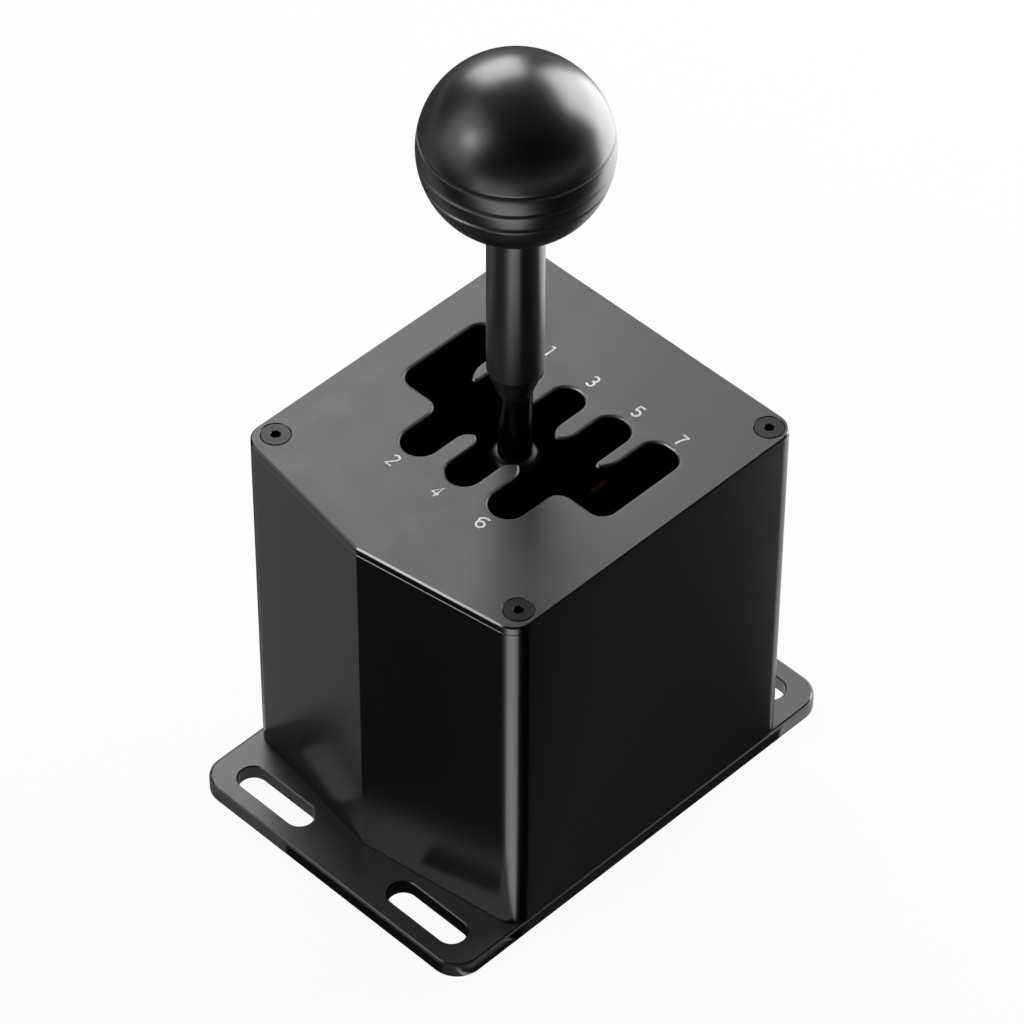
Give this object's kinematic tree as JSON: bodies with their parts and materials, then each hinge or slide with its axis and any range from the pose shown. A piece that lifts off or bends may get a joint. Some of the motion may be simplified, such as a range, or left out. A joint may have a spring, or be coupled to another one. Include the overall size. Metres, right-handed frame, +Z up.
{
  "type": "h-pattern gear shifter",
  "caption": "H-pattern gear shifter for a driving simulator: sprung lever with ball knob on a gimbal, in a prow-fronted case with a gate plate, on a slotted base plate.",
  "frame": {"origin": "middle of the base plate's underside, straight below the lever", "axes": "+Z up along the resting lever, +Y forward towards the odd gears, +X to the driver's right; the prow faces the driver, towards -Y"},
  "size_m": [0.1006, 0.1436, 0.2439],
  "materials": {
    "anodised_plate": "black anodised, fine bead-blasted satin",
    "anodised_case": "black anodised extrusion, smooth satin",
    "anodised_deck": "black anodised, fine bead-blasted satin",
    "lever_black": "black anodised, turned",
    "knob_black": "black anodised, turned satin",
    "bare_aluminium": "milled",
    "black_steel": "black oxide",
    "bright_steel": "turned and ground",
    "bearing_steel": "polished",
    "spring_steel": "drawn wire",
    "plain_brass": "turned",
    "black_rubber": "moulded, matt",
    "black_plastic": "moulded, matt",
    "board_green": "solder resist over glass fibre",
    "chip_black": "moulded resin",
    "ivory_plastic": "moulded",
    "cable_film": "polyester film over copper strips",
    "plug_steel": "drawn sheet",
    "magnet_nickel": "nickel plated"
  },
  "bodies": {
    "case": {"base_plate": "anodised_plate", "housing_shell": "anodised_case", "top_plate": "anodised_deck", "top_plate_screws": "black_steel", "base_screws": "black_steel", "front_pillar": "bare_aluminium", "rear_pillar": "bare_aluminium", "pillar_screws": "black_steel", "bearing_outer_rings": "bearing_steel", "bearing_balls": "bearing_steel", "spring_seats": "black_plastic", "bumper_posts": "bare_aluminium", "side_bumpers": "black_rubber", "sensor_board": "board_green", "sensor_chips": "chip_black", "sensor_standoffs": "plain_brass", "sensor_screws": "black_steel", "main_board": "board_green", "main_chips": "chip_black", "main_standoffs": "plain_brass", "main_screws": "black_steel", "flex_sockets": "ivory_plastic", "flex_cable": "cable_film", "usb_receptacle": "plug_steel"},
    "yoke": {"yoke_frame": "bare_aluminium", "yoke_pins": "bright_steel", "bearing_inner_rings": "bearing_steel", "shaft_bushes": "plain_brass", "left_centring_spring": "spring_steel", "right_centring_spring": "spring_steel", "detent_barrel": "bright_steel", "detent_grub_screw": "black_steel", "detent_spring": "spring_steel"},
    "plunger": {"detent_plunger": "bright_steel"},
    "lever": {"lever_hub": "bare_aluminium", "cross_shaft": "bright_steel", "shaft_clips": "spring_steel", "hub_grub_screw": "black_steel", "shaft_spacer": "bright_steel", "detent_cam": "bright_steel", "cam_screws": "black_steel", "lever_collar": "lever_black", "collar_nut": "black_steel", "lever_shaft": "lever_black", "knob": "knob_black", "knob_insert": "plain_brass", "magnet_holder": "black_plastic", "magnet": "magnet_nickel"}
  },
  "joints": [
    {"name": "side_tilt", "type": "hinge", "parent": "case", "child": "yoke", "pos_m": [0, 0, 0.042], "axis": [0, 1, 0], "range_deg": [-12, 12], "stiffness_Nm_per_rad": 7.5, "deforming": ["left_centring_spring", "right_centring_spring"]},
    {"name": "fore_aft_tilt", "type": "hinge", "parent": "yoke", "child": "lever", "pos_m": [0, 0, 0.042], "axis": [1, 0, 0], "range_deg": [-13.4, 13.4]},
    {"name": "detent_slide", "type": "slide", "parent": "yoke", "child": "plunger", "axis": [0, -1, 0], "range_m": [0, 0.0012], "stiffness_N_per_m": 300, "deforming": ["detent_spring"]}
  ]
}
